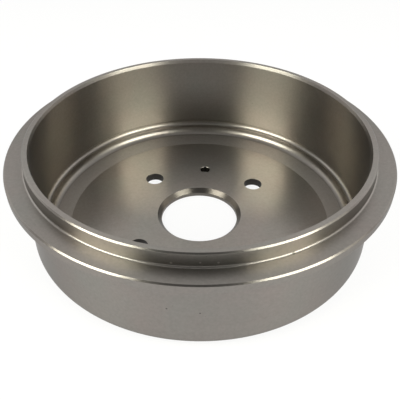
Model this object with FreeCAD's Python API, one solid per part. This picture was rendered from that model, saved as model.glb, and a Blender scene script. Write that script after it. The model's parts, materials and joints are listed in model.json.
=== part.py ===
import FreeCAD, Part
import math
import os

# Brake drum, one iron casting, machined all over. Millimetres and degrees.
# The wheel's seat lies on the plane z = 0, and the drum opens towards +Z.

# Friction bore, which the shoes rub on
friction_diameter = 200.0
friction_width = 48.5
lead_in_depth = 0.65
lead_in_length = 2.15

# Tool run-out groove at the closed end of the friction bore
groove_depth = 1.2
groove_width = 4.4
groove_corner_bevel = 1.7

# Shoulder under the groove, and the dish that joins it to the flat web
shoulder_inset = 1.5
shoulder_radius = 6.0
shoulder_land = 0.2
dish_run = 13.7
dish_angle = 15.5

# Flat web, with the hub on its inner face and the wheel on its outer face
web_thickness = 5.6
bore_diameter = 50.5
bore_land = 2.75
bore_flare_width = 2.5
bore_edge_break = 0.5

# Outer wall, its rounded corner, and the flange near the open end
wall_thickness = 6.7
corner_radius = 7.3
flange_overhang = 8.8
flange_thickness = 5.5
flange_edge_bevel = 0.8
flange_back_bevel = 0.5
flange_root_bevel = 1.3

# Lip that stands above the flange round the open end
lip_height = 8.8
lip_thickness = 4.1
lip_bevel = 0.75
lip_root_bevel = 0.8

# Holes in the web
stud_circle_diameter = 100.0
stud_count = 4
stud_hole_diameter = 12.5
stud_first_angle = 45.0
stud_edge_break = 0.4
puller_count = 2
puller_hole_diameter = 6.8
puller_first_angle = 90.0
puller_sink = 0.7

# The most of a side that one fillet or bevel may take up
side_share = 0.98

# Radii worked out from the sizes above
friction_radius = friction_diameter / 2
bore_radius = bore_diameter / 2
shoulder_edge_radius = friction_radius - shoulder_inset
web_flat_radius = shoulder_edge_radius - dish_run
wall_radius = friction_radius + wall_thickness
flange_radius = wall_radius + flange_overhang
lip_radius = friction_radius + lip_thickness

# The dish is a cone as thick as the web, so its outer crease lies a little further out
dish = math.radians(dish_angle)
seat_radius = web_flat_radius + web_thickness * math.tan(dish / 2)


def dish_height_inside(radius):
    """Height of the inner cone at a radius."""
    return web_thickness + (radius - web_flat_radius) * math.tan(dish)


def dish_height_outside(radius):
    """Height of the outer cone at a radius."""
    return (radius - seat_radius) * math.tan(dish)


# Heights worked out from the sizes above, from the shoulder's sharp edge to the lip
shoulder_reach = shoulder_radius * math.tan((math.pi / 2 - dish) / 2)
shoulder_height = dish_height_inside(shoulder_edge_radius) + shoulder_reach + shoulder_land
groove_top = shoulder_height + groove_width
friction_top = groove_top + friction_width
drum_height = friction_top + lead_in_length
flange_top = drum_height - lip_height
flange_bottom = flange_top - flange_thickness


def point(radius, height):
    return FreeCAD.Vector(radius, 0, height)


def eased(corners):
    """Closed wire through corners (radius, height, ease, size).

    ease is "sharp", "round" for a tangent arc of that radius, or "bevel" for a flat of that leg.
    An arc or a flat is limited by the shorter side beside it.
    """
    places = [point(radius, height) for radius, height, ease, size in corners]
    stretches = []
    for index, (radius, height, ease, size) in enumerate(corners):
        here = places[index]
        back = places[index - 1] - here
        ahead = places[(index + 1) % len(places)] - here
        if ease == "sharp":
            stretches.append([here])
            continue
        opening = back.getAngle(ahead)
        reach = size / math.tan(opening / 2) if ease == "round" else size
        reach = min(reach, side_share * back.Length, side_share * ahead.Length)
        back.normalize()
        ahead.normalize()
        start = here + back * reach
        end = here + ahead * reach
        if ease == "bevel":
            stretches.append([start, end])
            continue
        arc_radius = reach * math.tan(opening / 2)
        inward = back + ahead
        inward.normalize()
        middle = here + inward * (arc_radius / math.sin(opening / 2) - arc_radius)
        stretches.append([start, middle, end])
    edges = []
    for index, stretch in enumerate(stretches):
        if len(stretch) == 3:
            edges.append(Part.Arc(*stretch).toShape())
        elif len(stretch) == 2:
            edges.append(Part.makeLine(*stretch))
        following = stretches[(index + 1) % len(stretches)]
        edges.append(Part.makeLine(stretch[-1], following[0]))
    return Part.Wire(edges)


def turned(wire):
    """Solid swept once round the drum's axis by a closed section."""
    return Part.Face(wire).revolve(FreeCAD.Vector(0, 0, 0), FreeCAD.Vector(0, 0, 1), 360)


def drum_casting():
    """The drum's whole turned form, from the bore outwards and round the lip."""
    return turned(eased([
        (bore_radius, 0, "bevel", bore_edge_break),
        (seat_radius, 0, "sharp", 0),
        (wall_radius, dish_height_outside(wall_radius), "round", corner_radius),
        (wall_radius, flange_bottom, "bevel", flange_root_bevel),
        (flange_radius, flange_bottom, "bevel", flange_back_bevel),
        (flange_radius, flange_top, "bevel", flange_edge_bevel),
        (lip_radius, flange_top, "bevel", lip_root_bevel),
        (lip_radius, drum_height, "bevel", lip_bevel),
        (friction_radius + lead_in_depth, drum_height, "sharp", 0),
        (friction_radius, friction_top, "sharp", 0),
        (friction_radius, groove_top, "sharp", 0),
        (friction_radius + groove_depth, groove_top - groove_depth, "sharp", 0),
        (friction_radius + groove_depth, shoulder_height, "bevel", groove_corner_bevel),
        (shoulder_edge_radius, shoulder_height, "sharp", 0),
        (shoulder_edge_radius, dish_height_inside(shoulder_edge_radius), "round", shoulder_radius),
        (web_flat_radius, web_thickness, "sharp", 0),
        (bore_radius + bore_flare_width, web_thickness, "sharp", 0),
        (bore_radius, bore_land, "sharp", 0),
    ]))


def hole_tool(diameter, seat_break, hub_break):
    """Round tool through the web, flared at 45 degrees to break the hole's two edges."""
    radius = diameter / 2
    over = web_thickness
    corners = [(0, -over)]
    if seat_break > 0:
        corners += [(radius + seat_break + over, -over), (radius, seat_break)]
    else:
        corners += [(radius, -over)]
    if hub_break > 0:
        corners += [(radius, web_thickness - hub_break)]
        corners += [(radius + hub_break + over, web_thickness + over)]
    else:
        corners += [(radius, web_thickness + over)]
    corners += [(0, web_thickness + over), (0, -over)]
    return turned(Part.makePolygon([point(*corner) for corner in corners]))


def ring_of(tool, count, first_angle):
    """Copies of a tool, evenly spaced on the stud circle."""
    copies = []
    for index in range(count):
        copy = tool.copy()
        copy.translate(FreeCAD.Vector(stud_circle_diameter / 2, 0, 0))
        angle = first_angle + index * 360.0 / count
        copy.rotate(FreeCAD.Vector(0, 0, 0), FreeCAD.Vector(0, 0, 1), angle)
        copies.append(copy)
    return copies


def brake_drum():
    """The casting with its wheel stud holes and the tapping holes for jacking it off the hub."""
    stud_tool = hole_tool(stud_hole_diameter, stud_edge_break, stud_edge_break)
    puller_tool = hole_tool(puller_hole_diameter, puller_sink, 0)
    tools = ring_of(stud_tool, stud_count, stud_first_angle)
    tools += ring_of(puller_tool, puller_count, puller_first_angle)
    return drum_casting().cut(tools)


os.makedirs("parts", exist_ok=True)
brake_drum().exportStep("parts/brake_drum.step")
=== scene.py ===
import json
import math

import bpy
import numpy as np
from bpy.props import FloatProperty, FloatVectorProperty, IntProperty, PointerProperty
from mathutils import Matrix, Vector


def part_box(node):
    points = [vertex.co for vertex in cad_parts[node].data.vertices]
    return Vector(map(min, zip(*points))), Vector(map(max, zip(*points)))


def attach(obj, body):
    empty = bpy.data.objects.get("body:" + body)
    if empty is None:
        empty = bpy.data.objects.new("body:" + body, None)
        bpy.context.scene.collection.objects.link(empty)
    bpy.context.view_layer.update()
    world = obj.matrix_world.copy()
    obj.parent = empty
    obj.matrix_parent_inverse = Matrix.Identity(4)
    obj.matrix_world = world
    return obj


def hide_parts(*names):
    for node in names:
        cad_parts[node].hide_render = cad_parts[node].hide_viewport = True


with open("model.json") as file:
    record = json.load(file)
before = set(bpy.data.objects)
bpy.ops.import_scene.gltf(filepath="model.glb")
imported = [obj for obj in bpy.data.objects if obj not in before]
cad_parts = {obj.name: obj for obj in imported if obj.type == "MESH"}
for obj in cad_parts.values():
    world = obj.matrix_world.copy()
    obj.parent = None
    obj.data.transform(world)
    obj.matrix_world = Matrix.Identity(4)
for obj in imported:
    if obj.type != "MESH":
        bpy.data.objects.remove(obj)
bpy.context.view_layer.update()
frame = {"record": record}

bl_info = {
    "name": "Brake drum",
    "version": (1, 0, 0),
    "blender": (4, 5, 0),
    "location": "View3D > Sidebar > Drum",
    "description": "Turned iron brake drum with its finishes, and the stage that it stands on",
    "category": "Add Mesh",
}

CAD_NODE = "brake_drum"
_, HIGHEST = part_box(CAD_NODE)
MOUNTS = {mount["name"]: mount for mount in frame["record"]["mounts"]}
MM = 0.001

# Finishes of the casting, in the order of its material slots
TURNED, GROUND, FLANGE, LIP, WALL, BORED, DRILLED, TAPPED, FILLET, RIM = range(10)

# Small dark marks of handling: the middle (x, y, z) and the radius of each, in metres
DARK_SPOTS = (
    ((0.0523, -0.0904, 0.0603), 0.0011),
    ((-0.0069, -0.1065, 0.0331), 0.0006),
    ((0.0096, -0.1063, 0.0312), 0.0006),
)
# Painted glints, small bright dots of painted highlight on the lip's front end, given the same way
PAINTED_GLINTS = (
    ((-0.0041, -0.104, 0.0626), 0.0008),
    ((0.0093, -0.1037, 0.0635), 0.0006),
    ((0.0176, -0.1026, 0.0632), 0.0007),
)

# How the surfaces are divided: degrees a column, the most degrees of an arc's step, the radius up
# to which an arc counts as small, and the most metres between two rows of a straight stretch
COLUMN = 1.0
ARC_STEP = 8.0
SMALL_ARC_STEP = 26.0
SMALL_ARC_RADIUS = 0.00125
STRIDE = 0.007

# A row stands this close to each end of a straight stretch, or at this share of a short one
SUPPORT = 0.00025
SUPPORT_SHARE = 0.3

# Points closer than this are one point
WELD = 1e-8


def metres(mount, key):
    """A size of one of the record's mounts, which the record gives in millimetres."""
    return MOUNTS[mount]["dims"][key] * MM


def length(name, description, default):
    """A length property in metres."""
    return FloatProperty(
        name=name, description=description, default=default, min=0.0, unit="LENGTH", precision=5
    )


def degrees(name, description, default):
    """An angle property, its default given in degrees."""
    return FloatProperty(
        name=name, description=description, default=math.radians(default), subtype="ANGLE"
    )


def number(name, description, default):
    """A property with no unit and no limit."""
    return FloatProperty(name=name, description=description, default=default)


def share(name, description, default):
    """A property from 0 to 1."""
    return FloatProperty(
        name=name, description=description, default=default, min=0.0, max=1.0, subtype="FACTOR"
    )


def colour(name, description, default):
    """A colour property."""
    return FloatVectorProperty(
        name=name, description=description, default=default, min=0.0, max=1.0, subtype="COLOR"
    )


class DrumSizes(bpy.types.PropertyGroup):
    """Sizes of the turned section and of the holes in the web."""

    drum_height: length("Height", "From the wheel face to the lip", HIGHEST.z)
    flange_radius: length("Flange radius", "Outer radius of the flange", HIGHEST.x)
    friction_radius: length(
        "Friction radius", "Radius that the shoes rub on", metres("friction_surface", "r_mm")
    )
    friction_width: length(
        "Friction width", "Length of the ground bore", metres("friction_surface", "length_mm")
    )
    lead_in_depth: length("Lead-in depth", "How far the mouth's taper opens", 0.00065)
    lead_in_length: length("Lead-in length", "Axial length of the mouth's taper", 0.00215)
    groove_depth: length("Groove depth", "Depth of the run-out groove", 0.0012)
    groove_width: length("Groove width", "Width of the run-out groove", 0.0044)
    groove_round: length("Groove round", "Radius of the groove's floor corner", 0.0026)
    shoulder_inset: length("Shoulder inset", "How far the edge under the groove stands in", 0.0015)
    shoulder_round: length("Shoulder round", "Radius from the edge into the dish", 0.006)
    dish_run: length("Dish run", "Radial width of the dish", 0.0137)
    dish_angle: degrees("Dish angle", "Slope of the dish from the flat web", 15.5)
    web_thickness: length("Web thickness", "Thickness of the flat web", 0.0056)
    bore_radius: length("Bore radius", "Radius of the hub's bore", metres("centre_bore", "r_mm"))
    bore_land: length("Bore land", "Height of the bore's straight wall", 0.00275)
    bore_flare: length("Bore flare", "Radial width of the bore's taper", 0.0025)
    bore_break: length("Bore break", "Break of the bore's edge on the wheel face", 0.0003)
    wall_thickness: length("Wall thickness", "Thickness of the outer wall", 0.0067)
    corner_round: length("Corner round", "Radius of the outer corner", 0.0073)
    flange_thickness: length("Flange thickness", "Thickness of the flange", 0.0055)
    flange_bevel: length("Flange bevel", "Bevel of the flange's front edge", 0.0008)
    flange_back_bevel: length("Flange back bevel", "Bevel of the flange's back edge", 0.0005)
    flange_root: length("Flange root", "Fillet under the flange", 0.002)
    lip_height: length("Lip height", "How far the lip stands above the flange", 0.0088)
    lip_thickness: length("Lip thickness", "From the friction radius to the lip's outside", 0.0041)
    lip_bevel: length("Lip bevel", "Bevel of the lip's outer edge", 0.00075)
    lip_root: length("Lip root", "Fillet between the lip and the flange", 0.0011)
    edge_round: length("Edge round", "Radius left on every sharp edge", 0.00012)
    hole_circle: length(
        "Hole circle", "Radius of the circle of holes", metres("stud_holes", "pcd_mm") / 2
    )
    stud_radius: length("Stud hole radius", "Wheel stud hole", metres("stud_holes", "hole_r_mm"))
    stud_break: length("Stud hole break", "Break of the stud holes' edges", 0.0001)
    jack_minor: length("Jacking hole radius", "At the crests", metres("puller_hole_1", "r_mm"))
    jack_major: length("Jacking thread radius", "At the thread's roots", 0.004)
    jack_pitch: length("Jacking thread pitch", "Axial length of one turn", 0.00125)
    jack_sink: length("Jacking hole sink", "Countersink on the wheel face", 0.0007)
    jack_lead: length("Jacking hole lead", "Countersink on the hub face", 0.00025)
    first_stud: IntProperty(
        name="First stud hole", description="Its angle in degrees from +X", default=45
    )
    first_jack: IntProperty(
        name="First jacking hole", description="Its angle in degrees from +X", default=90
    )


class DrumFinish(bpy.types.PropertyGroup):
    """Colours and textures of the iron."""

    iron: colour("Iron", "Bare machined iron", (0.328, 0.303, 0.274))
    ground_iron: colour("Ground iron", "Iron of the friction bore", (0.29, 0.2695, 0.243))
    flange_iron: colour("Flange iron", "Iron of the flange's front", (0.284, 0.264, 0.242))
    rim_iron: colour("Rim iron", "Iron of the lip's end", (0.312, 0.289, 0.265))
    wall_iron: colour("Wall iron", "Iron of the outer wall", (0.265, 0.246, 0.229))
    lip_iron: colour("Lip iron", "Iron of the lip's wall and of the bevels", (0.248, 0.229, 0.209))
    fillet_iron: colour("Fillet iron", "Iron of the fillet under the groove", (0.238, 0.219, 0.2))
    bored_iron: colour("Bored iron", "Iron of the hub's bore", (0.163, 0.15, 0.134))
    # Painted shade: the stud holes' iron is made nearly black to stand for the shade inside the
    # holes
    drilled_iron: colour("Drilled iron", "Iron of the stud holes", (0.045, 0.0415, 0.038))
    # Painted shade: the threads' iron is darker still, standing for the deep shade in the jacking
    # holes
    tapped_iron: colour("Tapped iron", "Iron of the jacking holes' threads", (0.012, 0.0105, 0.009))
    turned_roughness: share("Turned roughness", "Roughness of the turned faces", 0.31)
    ground_roughness: share("Ground roughness", "Roughness of the friction bore", 0.31)
    lip_roughness: share("Lip roughness", "Roughness of the lip and the flange", 0.3)
    wall_roughness: share("Wall roughness", "Roughness of the outer wall", 0.3)
    bored_roughness: share("Bored roughness", "Roughness of the hub's bore", 0.36)
    drilled_roughness: share("Drilled roughness", "Roughness of the holes", 0.5)
    wall_edge: share("Wall edge", "How bright a wall is left at a grazing angle", 0.62)
    stretch: share("Highlight stretch", "How far the circular marks stretch a highlight", 0.8)
    fillet_stretch: share("Fillet stretch", "The same, on the fillet under the groove", 0.3)
    mark_pitch: length("Mark pitch", "Width of the fine tool marks", 0.0009)
    mark_depth: length("Mark depth", "Depth of the tool marks", 0.000004)
    grain_size: length("Grain size", "Width of the iron's fine grain", 0.0016)
    patch_size: length("Patch size", "Width of the faint patches of tint", 0.025)


class DrumStage(bpy.types.PropertyGroup):
    """Camera, floor, lamps and room."""

    camera_place: FloatVectorProperty(
        name="Camera place",
        description="Where the camera stands",
        default=(0.02369, -0.27923, 0.2416),
        subtype="TRANSLATION",
        unit="LENGTH",
    )
    camera_pitch: degrees("Camera pitch", "Tilt of the view up from straight down", 51.236)
    camera_heading: degrees("Camera heading", "Turn of the view from +Y", 5.615)
    camera_roll: degrees("Camera roll", "Turn of the camera about its line of sight", -0.305)
    camera_lens: number("Focal length", "Focal length on a 36 mm frame", 49.15)
    camera_shift: number("Camera shift", "Sideways shift of the frame", 0.016)
    floor_size: length("Floor size", "Side of the square floor", 8.0)
    floor_glow: share("Floor whiteness", "Share of plain white in what the floor shows", 0.85)
    left_side: degrees("Left side", "Turn of the left lamp from the camera's side", 57.5)
    right_side: degrees("Right side", "Turn of the right lamp from the camera's side", 50.0)
    far_side: degrees("Far side", "Turn of the weak lamp, beyond the right lamp", 72.0)
    lamp_rise: degrees("Lamp rise", "Height of each lamp above the floor, as an angle", 34.0)
    lamp_distance: length("Lamp distance", "From the drum to each lamp", 0.95)
    lamp_size: length("Lamp size", "Side of each square lamp", 0.53)
    left_power: number("Left power", "Power of the left lamp", 9.4)
    right_power: number("Right power", "Power of the right lamp", 7.7)
    far_power: number("Far power", "Power of the weak lamp", 1.1)
    lamp_colour: colour("Lamp colour", "Colour of the lamps", (1.0, 1.0, 0.885))
    back_rise: degrees("Back rise", "Height of the back wall's middle, as an angle", 29.0)
    back_level: share("Back level", "Brightness of the back wall", 0.85)
    side_level: number("Side level", "Brightness of the patch at each side of that wall", 1.48)
    dimness: share("Room level", "Brightness of the room away from these and the horizon", 0.1)


def arc_points(corner, back, ahead, radius):
    """Tangent arc at a corner: centre + radius times (cos a, sin a), a running from the side
    behind to the side ahead, with the centre on the bisector, radius / sin(half opening) away."""
    back_way = (back - corner) / np.linalg.norm(back - corner)
    ahead_way = (ahead - corner) / np.linalg.norm(ahead - corner)
    half = math.acos(np.clip(back_way @ ahead_way, -1, 1)) / 2
    bisector = (back_way + ahead_way) / np.linalg.norm(back_way + ahead_way)
    centre = corner + bisector * radius / math.sin(half)
    start = corner + back_way * radius / math.tan(half) - centre
    turn = math.pi - 2 * half
    side = np.sign(back_way[0] * ahead_way[1] - back_way[1] * ahead_way[0])
    step = math.radians(ARC_STEP if radius > SMALL_ARC_RADIUS else SMALL_ARC_STEP)
    angles = -side * np.linspace(0, turn, max(2, math.ceil(turn / step)) + 1)
    angles += math.atan2(start[1], start[0])
    return centre + radius * np.stack([np.cos(angles), np.sin(angles)], axis=1)


def outline(corners, zones):
    """Points (radius, height) along a line of corners (radius, height, rounding), and a zone for
    each. Each corner is a tangent arc. A straight stretch from a to b is a + (b - a) t, with t
    close to both ends and evenly spaced between them, and has the zone listed for it. An arc shares
    the zones of the stretches beside it, or has the zone that its corner names after its
    rounding."""
    places = np.array([corner[:2] for corner in corners], float)
    arcs = [places[:1]]
    for index in range(1, len(places) - 1):
        arcs.append(arc_points(*places[[index, index - 1, index + 1]], corners[index][2]))
    arcs.append(places[-1:])
    points, marks = [], []
    for index, zone in enumerate(zones):
        arc, following = arcs[index], arcs[index + 1]
        start, end = arc[-1], following[0]
        run = np.linalg.norm(end - start)
        margin = min(SUPPORT, SUPPORT_SHARE * run)
        count = max(2, math.ceil((run - 2 * margin) / STRIDE) + 1)
        along = np.linspace(margin, run - margin, count)[:, None] / run
        middle = len(arc) // 2
        points += [arc, start + (end - start) * along]
        before, after = corners[index][3:] * 2 or (zones[max(index - 1, 0)], zone)
        marks += [np.full(middle, before), np.full(len(arc) - middle, after), np.full(count, zone)]
    points.append(arcs[-1])
    marks.append(np.full(1, zones[-1]))
    return np.concatenate(points), np.concatenate(marks)


def turned(points, azimuths):
    """Surface of revolution: (radius cos a, radius sin a, height), a row for each point of the
    outline and a column for each azimuth."""
    radius, height = points[:, :1], points[:, 1:]
    x = radius * np.cos(azimuths)
    y = radius * np.sin(azimuths)
    return np.stack([x, y, np.broadcast_to(height, x.shape)], axis=-1)


def drum_outlines(sizes):
    """The section in two open lines, split where the holes stand in the web: round the hub's bore,
    and round the dish, the friction bore, the lip, the flange and the outer wall."""
    top = sizes.web_thickness
    crisp, edge, soft = sizes.edge_round / 2, sizes.edge_round, sizes.edge_round * 2
    friction = sizes.friction_radius
    wall = friction + sizes.wall_thickness
    lip = friction + sizes.lip_thickness
    shoulder = friction - sizes.shoulder_inset
    flat = shoulder - sizes.dish_run
    slope = math.tan(sizes.dish_angle)
    seat = flat + top * math.tan(sizes.dish_angle / 2)
    friction_top = sizes.drum_height - sizes.lead_in_length
    groove_top = friction_top - sizes.friction_width
    ledge = groove_top - sizes.groove_width
    groove = friction + sizes.groove_depth
    flange_top = sizes.drum_height - sizes.lip_height
    flange_bottom = flange_top - sizes.flange_thickness
    inner, outer = cell_radii(sizes)
    hub = [
        (inner, 0, 0),
        (sizes.bore_radius + sizes.bore_break, 0, edge),
        (sizes.bore_radius, sizes.bore_break, edge),
        (sizes.bore_radius, sizes.bore_land, edge),
        (sizes.bore_radius + sizes.bore_flare, top, edge),
        (inner, top, 0),
    ]
    drum = [
        (outer, top, 0),
        (flat, top, soft),
        (shoulder, top + sizes.dish_run * slope, sizes.shoulder_round, FILLET),
        (shoulder, ledge, crisp),
        (groove, ledge, sizes.groove_round),
        (groove, groove_top - sizes.groove_depth, edge),
        (friction, groove_top, edge),
        (friction, friction_top, soft),
        (friction + sizes.lead_in_depth, sizes.drum_height, edge),
        (lip - sizes.lip_bevel, sizes.drum_height, edge),
        (lip, sizes.drum_height - sizes.lip_bevel, edge),
        (lip, flange_top, sizes.lip_root),
        (sizes.flange_radius - sizes.flange_bevel, flange_top, edge),
        (sizes.flange_radius, flange_top - sizes.flange_bevel, edge),
        (sizes.flange_radius, flange_bottom + sizes.flange_back_bevel, edge),
        (sizes.flange_radius - sizes.flange_back_bevel, flange_bottom, edge),
        (wall, flange_bottom, sizes.flange_root),
        (wall, (wall - seat) * slope, sizes.corner_round),
        (seat, 0, soft),
        (outer, 0, 0),
    ]
    zones = [TURNED] * 6 + [GROUND, TURNED, RIM, LIP, LIP, FLANGE, LIP] + [WALL] * 5 + [TURNED]
    return (hub, [TURNED, BORED, BORED, BORED, TURNED]), (drum, zones)


# Each hole stands in a cell of the web, a block that reaches this far in and out from the circle
# of holes and this many degrees to each side. It has so many rows across, and so many rings from
# its border to the collar, a circle of this radius round the hole.
CELL_REACH = 0.011
CELL_HALF_ANGLE = 15
CELL_ROWS = 12
CELL_RINGS = 6
CELL_COLLAR = 0.008


def cell_radii(sizes):
    """Inner and outer radius of the ring of cells."""
    return sizes.hole_circle - CELL_REACH, sizes.hole_circle + CELL_REACH


def cell_border(sizes, azimuth):
    """Closed loop (x, y) round a hole's cell, run so that the hole's angle grows: along the inner
    arc, out, along the outer arc and back in."""
    inner, outer = cell_radii(sizes)
    sweep = np.linspace(-CELL_HALF_ANGLE, CELL_HALF_ANGLE, round(2 * CELL_HALF_ANGLE / COLUMN) + 1)
    depth = np.linspace(inner, outer, CELL_ROWS + 1)
    columns, rows = len(sweep) - 1, len(depth) - 1
    radius = np.concatenate(
        [np.full(columns, inner), depth[:-1], np.full(columns, outer), depth[:0:-1]]
    )
    angle = np.concatenate(
        [sweep[:0:-1], np.full(rows, sweep[0]), sweep[:-1], np.full(rows, sweep[-1])]
    )
    angle = np.radians(azimuth + angle)
    return radius[:, None] * np.stack([np.cos(angle), np.sin(angle)], axis=1)


def hole_surface(sizes, azimuth, wall_radius, zone, foot, lead):
    """Web round a hole and the hole's wall as one closed band. From the wheel face to the hub face,
    its rows are: border to collar, along the wall, and collar to border. A row is
    centre + radius(angle) (cos angle, sin angle), and between collar and border it is the blend
    collar + (border - collar) t. The wall has the zone between its edge breaks, which are foot deep
    on the wheel face and lead deep on the hub face."""
    centre = sizes.hole_circle * np.array(
        [math.cos(math.radians(azimuth)), math.sin(math.radians(azimuth))]
    )
    border = cell_border(sizes, azimuth)
    angle = np.arctan2(border[:, 1] - centre[1], border[:, 0] - centre[0])
    way = np.stack([np.cos(angle), np.sin(angle)], axis=1)
    collar = centre + CELL_COLLAR * way
    blend = np.linspace(1, 0, CELL_RINGS + 1)[:, None, None]
    ring = collar + (border - collar) * blend
    radius, height = wall_radius(angle)
    wall = centre + radius[:, :, None] * way
    flat = np.concatenate([ring, wall, ring[::-1]])
    height = np.concatenate(
        [
            np.zeros(ring.shape[:2]),
            np.broadcast_to(height, radius.shape),
            np.full(ring.shape[:2], sizes.web_thickness),
        ]
    )
    zones = np.full(len(flat), TURNED)
    inside = (height[:, 0] >= foot) & (height[:, 0] < sizes.web_thickness - lead - WELD)
    zones[inside] = zone
    return np.concatenate([flat, height[:, :, None]], axis=2), zones


def stud_wall(sizes):
    """Radius of a stud hole's wall, the same at every angle: a straight bore with a 45 degree break
    at each end, its edges rounded."""
    top, radius, edge = sizes.web_thickness, sizes.stud_radius, sizes.edge_round
    wide = radius + sizes.stud_break
    points, _ = outline(
        [
            (CELL_COLLAR - SUPPORT, 0, 0),
            (wide, 0, edge),
            (radius, sizes.stud_break, edge),
            (radius, top - sizes.stud_break, edge),
            (wide, top, edge),
            (CELL_COLLAR - SUPPORT, top, 0),
        ],
        [DRILLED] * 5,
    )

    def wall(angle):
        return np.broadcast_to(points[:, :1], (len(points), len(angle))), points[:, 1:]

    return wall


# The thread: its crest's flat as a share of the pitch, the rise of its 60 degree flanks, the part
# of a turn in which it rises from nothing, and its rows for each turn
CREST_SHARE = 0.26
FLANK_SLOPE = 1 / math.tan(math.radians(30))
THREAD_START = 0.5
ROWS_A_TURN = 12

# The second jacking hole stands opposite the first
JACKS = 2


def jack_wall(sizes):
    """Radius of a tapped hole's wall. With w the share of a turn, height / pitch - angle / 360
    degrees, and d the distance from the crest's middle, the radius is minor + (d - half crest)
    times the flank's slope, held between minor and major, and no less than either countersink's
    cone. The thread rises from nothing in the half turn under the hub face's countersink. The helix
    is right-handed."""
    top = sizes.web_thickness
    start = top - sizes.jack_lead

    def wall(angle):
        count = round(top / sizes.jack_pitch * ROWS_A_TURN)
        level = np.linspace(0, start, count + 1)[:, None]
        turn = level / sizes.jack_pitch - angle / (2 * math.pi)
        distance = np.abs(turn - np.round(turn)) * sizes.jack_pitch
        rise = (distance - CREST_SHARE / 2 * sizes.jack_pitch) * FLANK_SLOPE
        fade = np.clip((start - level) / (THREAD_START * sizes.jack_pitch), 0, 1)
        rise = np.clip(rise, 0, sizes.jack_major - sizes.jack_minor)
        radius = sizes.jack_minor + rise * fade
        radius = np.maximum(radius, sizes.jack_minor + sizes.jack_sink - level)
        rim = radius[-1:] + sizes.jack_lead
        foot = radius[:1] + SUPPORT
        radius = np.concatenate([foot, radius, rim, rim + SUPPORT])
        level = np.concatenate([[[0]], level, [[top]], [[top]]])
        return radius, level

    return wall


def hole_places(sizes):
    """Angle of each hole in degrees, in order round the web, and its wall, zone and breaks."""
    studs = MOUNTS["stud_holes"]["dims"]["count"]
    stud = (stud_wall(sizes), DRILLED, sizes.stud_break, sizes.stud_break)
    jack = (jack_wall(sizes), TAPPED, sizes.jack_sink, sizes.jack_lead)
    places = [(sizes.first_stud + index * 360 / studs, stud) for index in range(studs)]
    places += [(sizes.first_jack + index * 360 / JACKS, jack) for index in range(JACKS)]
    return sorted(places, key=lambda place: place[0])


def web_ring(sizes):
    """The ring of the web that holds the holes: a band for each hole, and between two cells a flat
    sector on each face, (r cos a, r sin a, z)."""
    patches = []
    places = hole_places(sizes)
    depth = np.linspace(*cell_radii(sizes), CELL_ROWS + 1)
    for index, (azimuth, hole) in enumerate(places):
        points, zones = hole_surface(sizes, azimuth, *hole)
        patches.append((points, True, zones))
        following = places[(index + 1) % len(places)][0]
        gap = (following - azimuth) % 360 - 2 * CELL_HALF_ANGLE
        if gap <= 0:
            continue
        angles = azimuth + CELL_HALF_ANGLE + np.linspace(0, gap, round(gap / COLUMN) + 1)
        for height, radii in ((sizes.web_thickness, depth), (0, depth[::-1])):
            line = np.stack([radii, np.full_like(radii, height)], axis=1)
            patches.append((turned(line, np.radians(angles)), False, np.full(len(line), TURNED)))
    return patches


def casting_patches(sizes):
    """Every patch of the casting: its points in rows and columns, whether its columns close, and
    the zone of each row."""
    azimuths = np.radians(np.arange(0, 360, COLUMN))
    patches = []
    for corners, zones in drum_outlines(sizes):
        points, marks = outline(corners, zones)
        patches.append((turned(points, azimuths), True, marks))
    return patches + web_ring(sizes)


def woven_mesh(name, patches):
    """One closed mesh from patches of rows and columns. A face joins (row, column), (row + 1,
    column), (row + 1, column + 1) and (row, column + 1), and points that fall together are one."""
    corners, faces, zones = [], [], []
    first = 0
    for points, closed, marks in patches:
        rows, columns = points.shape[:2]
        index = first + np.arange(rows * columns).reshape(rows, columns)
        if closed:
            index = np.concatenate([index, index[:, :1]], axis=1)
        quads = np.stack([index[:-1, :-1], index[1:, :-1], index[1:, 1:], index[:-1, 1:]], axis=-1)
        corners.append(points.reshape(-1, 3))
        faces.append(quads.reshape(-1, 4))
        zones.append(np.repeat(marks[:-1], index.shape[1] - 1))
        first += rows * columns
    corners, faces, zones = np.concatenate(corners), np.concatenate(faces), np.concatenate(zones)
    keys = np.round(corners / WELD).astype(np.int64)
    _, kept, merged = np.unique(keys, axis=0, return_index=True, return_inverse=True)
    mesh = bpy.data.meshes.new(name)
    mesh.from_pydata(corners[kept], [], merged.reshape(-1)[faces])
    mesh.polygons.foreach_set("material_index", zones.astype(np.int32))
    mesh.shade_smooth()
    mesh.validate()
    mesh.update()
    return mesh


def put(tree, kind, inputs=None, **settings):
    """A new node with its settings, its inputs set to numbers or joined to sockets."""
    node = tree.nodes.new(kind)
    for key, value in settings.items():
        setattr(node, key, value)
    for key, value in (inputs or {}).items():
        if isinstance(value, bpy.types.NodeSocket):
            tree.links.new(value, node.inputs[key])
        else:
            node.inputs[key].default_value = value
    return node


def reckon(tree, operation, *values):
    """Output of a Math node."""
    return put(tree, "ShaderNodeMath", dict(enumerate(values)), operation=operation).outputs[0]


def new_group(name, inputs, outputs):
    """An empty shader node group with named sockets, and its two end nodes."""
    tree = bpy.data.node_groups.new(name, "ShaderNodeTree")
    for socket, kind, default in inputs:
        made = tree.interface.new_socket(socket, in_out="INPUT", socket_type=kind)
        if default is not None:
            made.default_value = default
    for socket, kind in outputs:
        tree.interface.new_socket(socket, in_out="OUTPUT", socket_type=kind)
    return tree, tree.nodes.new("NodeGroupInput"), tree.nodes.new("NodeGroupOutput")


# Two noises make up the tool marks. Each has its width in pitches, its detail and its share of the
# drift, and both are as harsh. The broad one has this weight in their shade, and the fine one the
# rest.
FINE_MARKS = (1.0, 3.0, 1.0)
BROAD_MARKS = (9.0, 2.0, 0.5)
MARK_HARSHNESS = 0.6
BROAD_WEIGHT = 0.6


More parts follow.
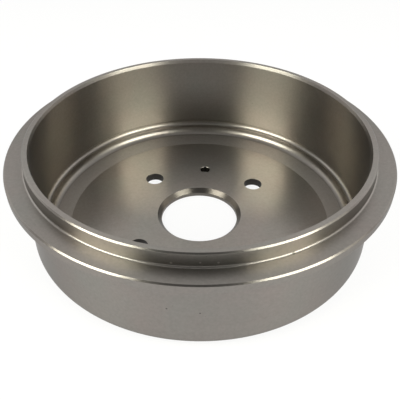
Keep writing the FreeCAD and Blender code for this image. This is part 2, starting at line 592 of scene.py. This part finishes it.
def tool_marks_group():
    """Marks that a tool leaves as the work turns. They follow the distance from the axis and the
    height, so they are rings on a face and hoops on a wall, and they change slowly round the part:
    noise at (radius / pitch, height / pitch, drift cos a, drift sin a)."""
    tree, source, result = new_group(
        "tool_marks",
        [
            ("Position", "NodeSocketVector", None),
            ("Pitch", "NodeSocketFloat", 0.001),
            ("Drift", "NodeSocketFloat", 2.0),
            ("Seed", "NodeSocketFloat", 0.0),
        ],
        [("Height", "NodeSocketFloat"), ("Shade", "NodeSocketFloat")],
    )
    parts = put(tree, "ShaderNodeSeparateXYZ", {0: source.outputs["Position"]}).outputs
    flat = put(tree, "ShaderNodeCombineXYZ", {"X": parts["X"], "Y": parts["Y"]}).outputs[0]
    radius = put(tree, "ShaderNodeVectorMath", {0: flat}, operation="LENGTH").outputs["Value"]
    way = put(tree, "ShaderNodeVectorMath", {0: flat}, operation="NORMALIZE").outputs[0]
    around = put(tree, "ShaderNodeSeparateXYZ", {0: way}).outputs
    heights = []
    for width, detail, drift in (FINE_MARKS, BROAD_MARKS):
        pitch = reckon(tree, "MULTIPLY", source.outputs["Pitch"], width)
        turn = reckon(tree, "MULTIPLY", source.outputs["Drift"], drift)
        where = put(
            tree,
            "ShaderNodeCombineXYZ",
            {
                "X": reckon(tree, "DIVIDE", radius, pitch),
                "Y": reckon(tree, "DIVIDE", parts["Z"], pitch),
                "Z": reckon(tree, "MULTIPLY", around["X"], turn),
            },
        ).outputs[0]
        fourth = reckon(tree, "MULTIPLY_ADD", around["Y"], turn, source.outputs["Seed"])
        noise = put(
            tree,
            "ShaderNodeTexNoise",
            {
                "Vector": where,
                "W": fourth,
                "Scale": 1.0,
                "Detail": detail,
                "Roughness": MARK_HARSHNESS,
            },
            noise_dimensions="4D",
        )
        heights.append(noise.outputs["Fac"])
    fine, broad = heights
    tree.links.new(fine, result.inputs["Height"])
    rest = reckon(tree, "MULTIPLY", fine, 1 - BROAD_WEIGHT)
    shade = reckon(tree, "MULTIPLY_ADD", broad, BROAD_WEIGHT, rest)
    tree.links.new(shade, result.inputs["Shade"])
    return tree


# A pore is dark from its middle out to this share of its size
PORE_FLOOR = 0.4


def pores_group():
    """Pores of the casting, cut open by the tool: dots round the points of a scattered grid, kept
    where the point's own random number is under the amount."""
    tree, source, result = new_group(
        "pores",
        [
            ("Position", "NodeSocketVector", None),
            ("Spacing", "NodeSocketFloat", 0.004),
            ("Size", "NodeSocketFloat", 0.06),
            ("Amount", "NodeSocketFloat", 0.15),
        ],
        [("Mask", "NodeSocketFloat")],
    )
    dots = put(
        tree,
        "ShaderNodeTexVoronoi",
        {
            "Vector": source.outputs["Position"],
            "Scale": reckon(tree, "DIVIDE", 1.0, source.outputs["Spacing"]),
        },
    )
    near = put(
        tree,
        "ShaderNodeMapRange",
        {
            "Value": dots.outputs["Distance"],
            "From Min": source.outputs["Size"],
            "From Max": reckon(tree, "MULTIPLY", source.outputs["Size"], PORE_FLOOR),
        },
        interpolation_type="SMOOTHSTEP",
    ).outputs[0]
    chance = put(tree, "ShaderNodeSeparateXYZ", {0: dots.outputs["Color"]}).outputs["X"]
    kept = reckon(tree, "LESS_THAN", chance, source.outputs["Amount"])
    tree.links.new(reckon(tree, "MULTIPLY", near, kept), result.inputs["Mask"])
    return tree


# The part of the noise's range that a cloud spreads to run from 0 to 1
CLOUD_LOW, CLOUD_HIGH = 0.25, 0.75


def cloud_group():
    """Soft uneven shade: noise at position / size, spread to run from 0 to 1."""
    tree, source, result = new_group(
        "cloud",
        [("Position", "NodeSocketVector", None), ("Size", "NodeSocketFloat", 0.001)],
        [("Cloud", "NodeSocketFloat")],
    )
    noise = put(
        tree,
        "ShaderNodeTexNoise",
        {
            "Vector": source.outputs["Position"],
            "Scale": reckon(tree, "DIVIDE", 1.0, source.outputs["Size"]),
            "Detail": 2.0,
        },
    ).outputs["Fac"]
    spread = put(
        tree,
        "ShaderNodeMapRange",
        {"Value": noise, "From Min": CLOUD_LOW, "From Max": CLOUD_HIGH},
    )
    tree.links.new(spread.outputs[0], result.inputs["Cloud"])
    return tree


def spots_group(name, spots):
    """Small round spots: 1 in the middle of each, fading to 0 at its radius."""
    tree, source, result = new_group(
        name, [("Position", "NodeSocketVector", None)], [("Mask", "NodeSocketFloat")]
    )
    mask = 0.0
    for middle, radius in spots:
        distance = put(
            tree,
            "ShaderNodeVectorMath",
            {0: source.outputs["Position"], 1: middle},
            operation="DISTANCE",
        ).outputs["Value"]
        spot = put(
            tree,
            "ShaderNodeMapRange",
            {"Value": distance, "From Min": radius, "From Max": radius / 2},
            interpolation_type="SMOOTHSTEP",
        ).outputs[0]
        mask = reckon(tree, "MAXIMUM", mask, spot)
    tree.links.new(mask, result.inputs["Mask"])
    return tree


def mixed_colour(tree, factor, first, second):
    """Colour between two, each a colour or a socket."""
    mix = tree.nodes.new("ShaderNodeMix")
    mix.data_type = "RGBA"
    sides = [socket for socket in mix.inputs if socket.type == "RGBA"]
    tree.links.new(factor, mix.inputs["Factor"])
    for socket, value in zip(sides, (first, second)):
        if isinstance(value, bpy.types.NodeSocket):
            tree.links.new(value, socket)
        else:
            socket.default_value = (*value, 1)
    return [socket for socket in mix.outputs if socket.type == "RGBA"][0]


# Shades of bare iron, as gains on its colour: the two tints that its patches run between, the two
# shades that its marks and grain run between, and what pores, dark spots and painted glints show
COOL_TINT, WARM_TINT = (0.97, 1.005, 1.0), (1.03, 0.995, 0.995)
LOW_SHADE, HIGH_SHADE = 0.83, 1.07
GRAIN_WEIGHT = 0.5
PORE_SHADE, DARK_SPOT_SHADE, PAINTED_GLINT_GAIN = 0.3, 0.35, 1.9

# Between these shades of the marks, the roughness falls from the first gain to the second
SMOOTHED_FROM, SMOOTHED_TO = 0.3, 0.7
ROUGHEST, SMOOTHEST = 1.06, 0.94

# How deep a pore is, in depths of the tool marks
PORE_DEPTH = 4.0

# The shader's stretch starts along the marks, and this share of a turn lays it across them
QUARTER_TURN = 0.25


def iron_material(name, finish, groups, iron, roughness, edge, stretch):
    """Bare iron cut by a tool: metal whose highlight is stretched across the circular marks."""
    material = bpy.data.materials.new(name)
    material.use_nodes = True
    tree = material.node_tree
    tree.nodes.clear()
    place = tree.nodes.new("ShaderNodeTexCoord").outputs["Object"]
    marks = put(
        tree,
        "ShaderNodeGroup",
        {"Position": place, "Pitch": finish.mark_pitch},
        node_tree=groups["marks"],
    ).outputs
    # The light mask marks the painted glints
    pores, dark, light = (
        put(tree, "ShaderNodeGroup", {"Position": place}, node_tree=groups[key]).outputs["Mask"]
        for key in ("pores", "dark", "light")
    )
    grain, patch = (
        put(
            tree, "ShaderNodeGroup", {"Position": place, "Size": size}, node_tree=groups["cloud"]
        ).outputs["Cloud"]
        for size in (finish.grain_size, finish.patch_size)
    )
    ringed = reckon(tree, "MULTIPLY", marks["Shade"], 1 - GRAIN_WEIGHT)
    shade = reckon(tree, "MULTIPLY_ADD", grain, GRAIN_WEIGHT, ringed)
    low, high = (
        mixed_colour(
            tree,
            patch,
            [value * gain * level for value, gain in zip(iron, COOL_TINT)],
            [value * gain * level for value, gain in zip(iron, WARM_TINT)],
        )
        for level in (LOW_SHADE, HIGH_SHADE)
    )
    worn = mixed_colour(tree, shade, low, high)
    # Pores and dark spots darken the iron, and the painted glints brighten it as painted highlights
    for mask, gain in ((pores, PORE_SHADE), (dark, DARK_SPOT_SHADE), (light, PAINTED_GLINT_GAIN)):
        worn = mixed_colour(tree, mask, worn, [value * gain for value in iron])
    rough = put(
        tree,
        "ShaderNodeMapRange",
        {
            "Value": marks["Shade"],
            "From Min": SMOOTHED_FROM,
            "From Max": SMOOTHED_TO,
            "To Min": roughness * ROUGHEST,
            "To Max": roughness * SMOOTHEST,
        },
    ).outputs[0]
    sunk = reckon(tree, "MULTIPLY_ADD", pores, -PORE_DEPTH, marks["Height"])
    bump = put(
        tree,
        "ShaderNodeBump",
        {"Strength": 1.0, "Distance": finish.mark_depth, "Height": sunk},
    ).outputs[0]
    hoop = put(
        tree, "ShaderNodeVectorMath", {0: (0.0, 0.0, 1.0), 1: place}, operation="CROSS_PRODUCT"
    ).outputs[0]
    shader = put(
        tree,
        "ShaderNodeBsdfPrincipled",
        {
            "Base Color": worn,
            "Metallic": 1.0,
            "Roughness": rough,
            "Specular Tint": (edge, edge, edge, 1),
            "Normal": bump,
            "Tangent": hoop,
            "Anisotropic": stretch,
            "Anisotropic Rotation": QUARTER_TURN,
        },
    ).outputs[0]
    output = tree.nodes.new("ShaderNodeOutputMaterial")
    tree.links.new(shader, output.inputs["Surface"])
    return material


def iron_finishes(finish):
    """The casting's finishes, in the order of its zones."""
    groups = {
        "marks": tool_marks_group(),
        "pores": pores_group(),
        "cloud": cloud_group(),
        "dark": spots_group("dark_spots", DARK_SPOTS),
        # The light spots are painted glints, bright dots of painted highlight on the lip's end
        "light": spots_group("painted_glints", PAINTED_GLINTS),
    }
    edge, stretch = finish.wall_edge, finish.stretch
    return [
        iron_material(name, finish, groups, *settings)
        for name, *settings in (
            ("turned_iron", finish.iron, finish.turned_roughness, 1.0, stretch),
            ("ground_iron", finish.ground_iron, finish.ground_roughness, edge, stretch),
            ("flange_iron", finish.flange_iron, finish.lip_roughness, edge, stretch),
            ("lip_iron", finish.lip_iron, finish.lip_roughness, edge, stretch),
            ("wall_iron", finish.wall_iron, finish.wall_roughness, edge, stretch),
            ("bored_iron", finish.bored_iron, finish.bored_roughness, 1.0, stretch),
            # Painted shade: the drilled iron's near-black colour stands for the shade inside the
            # stud holes
            ("drilled_iron", finish.drilled_iron, finish.drilled_roughness, 1.0, 0.0),
            # Painted shade: the tapped iron's darker colour stands for the shade deep in the
            # jacking holes
            ("tapped_iron", finish.tapped_iron, finish.drilled_roughness, edge, 0.0),
            ("fillet_iron", finish.fillet_iron, finish.lip_roughness, 1.0, finish.fillet_stretch),
            ("rim_iron", finish.rim_iron, finish.lip_roughness, edge, stretch),
        )
    ]


class DRUM_OT_turn_casting(bpy.types.Operator):
    """Builds the turned and drilled casting with its finishes"""

    bl_idname = "drum.turn_casting"
    bl_label = "Turn the casting"
    bl_options = {"REGISTER", "UNDO"}

    def execute(self, context):
        sizes = context.scene.drum_sizes
        mesh = woven_mesh("drum_casting", casting_patches(sizes))
        for material in iron_finishes(context.scene.drum_finish):
            mesh.materials.append(material)
        casting = bpy.data.objects.new("drum_casting", mesh)
        context.scene.collection.objects.link(casting)
        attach(casting, "root")
        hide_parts(CAD_NODE)
        return {"FINISHED"}


def lens_camera(stage):
    """Camera at the place, angle and framing of the view."""
    data = bpy.data.cameras.new("view")
    data.lens = stage.camera_lens
    data.sensor_width = 36.0
    data.shift_x = stage.camera_shift
    camera = bpy.data.objects.new("view", data)
    turn = Matrix.Rotation(stage.camera_heading, 4, "Z")
    tilt = Matrix.Rotation(stage.camera_pitch, 4, "X")
    roll = Matrix.Rotation(stage.camera_roll, 4, "Z")
    camera.matrix_world = Matrix.Translation(stage.camera_place) @ turn @ tilt @ roll
    return camera


def seen_directly(tree):
    """1 for what the camera, a reflection or a refraction sees, and 0 for what only lights."""
    path = tree.nodes.new("ShaderNodeLightPath").outputs
    seen = reckon(tree, "MAXIMUM", path["Is Camera Ray"], path["Is Glossy Ray"])
    return reckon(tree, "MAXIMUM", seen, path["Is Transmission Ray"])


# Grey of the floor's paint, the white that the floor and the room show, and how far the floor lies
# under the drum, in metres
FLOOR_GREY = (0.85, 0.85, 0.85, 1)
WHITE = (1, 1, 1, 1)
FLOOR_DROP = 0.00002


def floor_material(stage):
    """White floor that keeps a shadow, and lets the view through from below."""
    material = bpy.data.materials.new("white_floor")
    material.use_nodes = True
    tree = material.node_tree
    tree.nodes.clear()
    paint = put(tree, "ShaderNodeBsdfDiffuse", {"Color": FLOOR_GREY}).outputs[0]
    white = put(tree, "ShaderNodeEmission", {"Color": WHITE, "Strength": 1.0}).outputs[0]
    glow = reckon(tree, "MULTIPLY", seen_directly(tree), stage.floor_glow)
    mixed = put(tree, "ShaderNodeMixShader", {0: glow, 1: paint, 2: white}).outputs[0]
    back = tree.nodes.new("ShaderNodeNewGeometry").outputs["Backfacing"]
    clear = tree.nodes.new("ShaderNodeBsdfTransparent").outputs[0]
    one_sided = put(tree, "ShaderNodeMixShader", {0: back, 1: mixed, 2: clear}).outputs[0]
    output = tree.nodes.new("ShaderNodeOutputMaterial")
    tree.links.new(one_sided, output.inputs["Surface"])
    return material


def floor_plane(stage):
    """Square floor (x, y, -drop), just under the drum."""
    half = stage.floor_size / 2
    side = np.array([-half, half])
    x, y = np.meshgrid(side, side)
    points = np.stack([x, y, np.full_like(x, -FLOOR_DROP)], axis=-1).reshape(-1, 3)
    mesh = bpy.data.meshes.new("floor")
    mesh.from_pydata(points, [], [(0, 1, 3, 2)])
    mesh.materials.append(floor_material(stage))
    floor = bpy.data.objects.new("floor", mesh)
    return floor


def soft_lamp(stage, name, side, power):
    """Square soft lamp aimed at the drum, turned to one side of the camera and raised."""
    data = bpy.data.lights.new(name, "AREA")
    data.shape = "SQUARE"
    data.size = stage.lamp_size
    data.energy = power
    data.color = stage.lamp_colour
    lamp = bpy.data.objects.new(name, data)
    turn = Matrix.Rotation(stage.camera_heading + side, 4, "Z")
    tilt = Matrix.Rotation(math.pi / 2 - stage.lamp_rise, 4, "X")
    away = Matrix.Translation((0, 0, stage.lamp_distance))
    lamp.matrix_world = turn @ tilt @ away
    lamp.visible_camera = False
    return lamp


# The room, in the view's frame: the sines of the heights where the horizon's white starts to fade
# and where it ends, the direction of the right side patch, and the cosines from the middle where
# the back wall and a side patch start and where they are full
HORIZON_FADE = (0.14, 0.31)
SIDE_WAY = (0.76, 0.54, 0.36)
BACK_SPREAD = (-0.2, 0.75)
SIDE_SPREAD = (0.84, 0.98)


def panel_light(tree, way, middle, spread, level):
    """Light of a soft round panel: 0 where the cosine between the direction and the panel's middle
    is at the start of the spread, rising to level at its end."""
    nearness = put(
        tree, "ShaderNodeVectorMath", {0: way, 1: middle}, operation="DOT_PRODUCT"
    ).outputs["Value"]
    start, full = spread
    return put(
        tree,
        "ShaderNodeMapRange",
        {"Value": nearness, "From Min": start, "From Max": full, "To Min": 0.0, "To Max": level},
        interpolation_type="SMOOTHSTEP",
    ).outputs[0]


def studio_world(stage):
    """A plain pale room: white round the horizon, with a pale wall behind the drum and a paler
    patch to each side of it, and dimmer overhead and behind the camera. Left and right are the
    same, because the direction's x is taken without its sign."""
    world = bpy.data.worlds.new("studio")
    world.use_nodes = True
    tree = world.node_tree
    tree.nodes.clear()
    turned_way = put(
        tree,
        "ShaderNodeVectorRotate",
        {
            "Vector": tree.nodes.new("ShaderNodeTexCoord").outputs["Generated"],
            "Angle": -stage.camera_heading,
        },
        rotation_type="Z_AXIS",
    ).outputs[0]
    parts = put(tree, "ShaderNodeSeparateXYZ", {0: turned_way}).outputs
    way = put(
        tree,
        "ShaderNodeCombineXYZ",
        {"X": reckon(tree, "ABSOLUTE", parts["X"]), "Y": parts["Y"], "Z": parts["Z"]},
    ).outputs[0]
    horizon = put(
        tree,
        "ShaderNodeMapRange",
        {
            "Value": parts["Z"],
            "From Min": HORIZON_FADE[0],
            "From Max": HORIZON_FADE[1],
            "To Min": 1.0,
            "To Max": stage.dimness,
        },
        interpolation_type="SMOOTHSTEP",
    ).outputs[0]
    back_way = (0, math.cos(stage.back_rise), math.sin(stage.back_rise))
    back = panel_light(tree, way, back_way, BACK_SPREAD, stage.back_level)
    side = panel_light(tree, way, SIDE_WAY, SIDE_SPREAD, stage.side_level)
    level = reckon(tree, "MAXIMUM", horizon, reckon(tree, "MAXIMUM", back, side))
    light = put(tree, "ShaderNodeBackground", {"Color": WHITE, "Strength": level})
    output = tree.nodes.new("ShaderNodeOutputWorld")
    tree.links.new(light.outputs[0], output.inputs["Surface"])
    return world


class DRUM_OT_set_stage(bpy.types.Operator):
    """Sets the floor, the lamps, the surroundings and the camera"""

    bl_idname = "drum.set_stage"
    bl_label = "Set the stage"
    bl_options = {"REGISTER", "UNDO"}

    def execute(self, context):
        scene = context.scene
        stage = scene.drum_stage
        camera = lens_camera(stage)
        lamps = [
            soft_lamp(stage, "lamp_left", -stage.left_side, stage.left_power),
            soft_lamp(stage, "lamp_right", stage.right_side, stage.right_power),
            soft_lamp(stage, "lamp_far_right", stage.far_side, stage.far_power),
        ]
        for thing in [camera, floor_plane(stage), *lamps]:
            scene.collection.objects.link(thing)
        scene.camera = camera
        scene.world = studio_world(stage)
        scene.view_settings.view_transform = "Standard"
        return {"FINISHED"}


class DRUM_PT_panel(bpy.types.Panel):
    """Buttons and values for the drum."""

    bl_label = "Brake drum"
    bl_idname = "DRUM_PT_panel"
    bl_space_type = "VIEW_3D"
    bl_region_type = "UI"
    bl_category = "Drum"

    def draw(self, context):
        layout = self.layout
        for operator in (DRUM_OT_turn_casting, DRUM_OT_set_stage):
            layout.operator(operator.bl_idname)
        scene = context.scene
        for group in (scene.drum_sizes, scene.drum_finish, scene.drum_stage):
            column = layout.box().column(align=True)
            for key in group.__annotations__:
                column.prop(group, key)


CLASSES = (
    DrumSizes,
    DrumFinish,
    DrumStage,
    DRUM_OT_turn_casting,
    DRUM_OT_set_stage,
    DRUM_PT_panel,
)


def register():
    for item in CLASSES:
        bpy.utils.register_class(item)
    bpy.types.Scene.drum_sizes = PointerProperty(type=DrumSizes)
    bpy.types.Scene.drum_finish = PointerProperty(type=DrumFinish)
    bpy.types.Scene.drum_stage = PointerProperty(type=DrumStage)


def unregister():
    del bpy.types.Scene.drum_stage
    del bpy.types.Scene.drum_finish
    del bpy.types.Scene.drum_sizes
    for item in reversed(CLASSES):
        bpy.utils.unregister_class(item)


def main():
    register()
    bpy.ops.drum.turn_casting()
    bpy.ops.drum.set_stage()


if __name__ == "__main__":
    main()
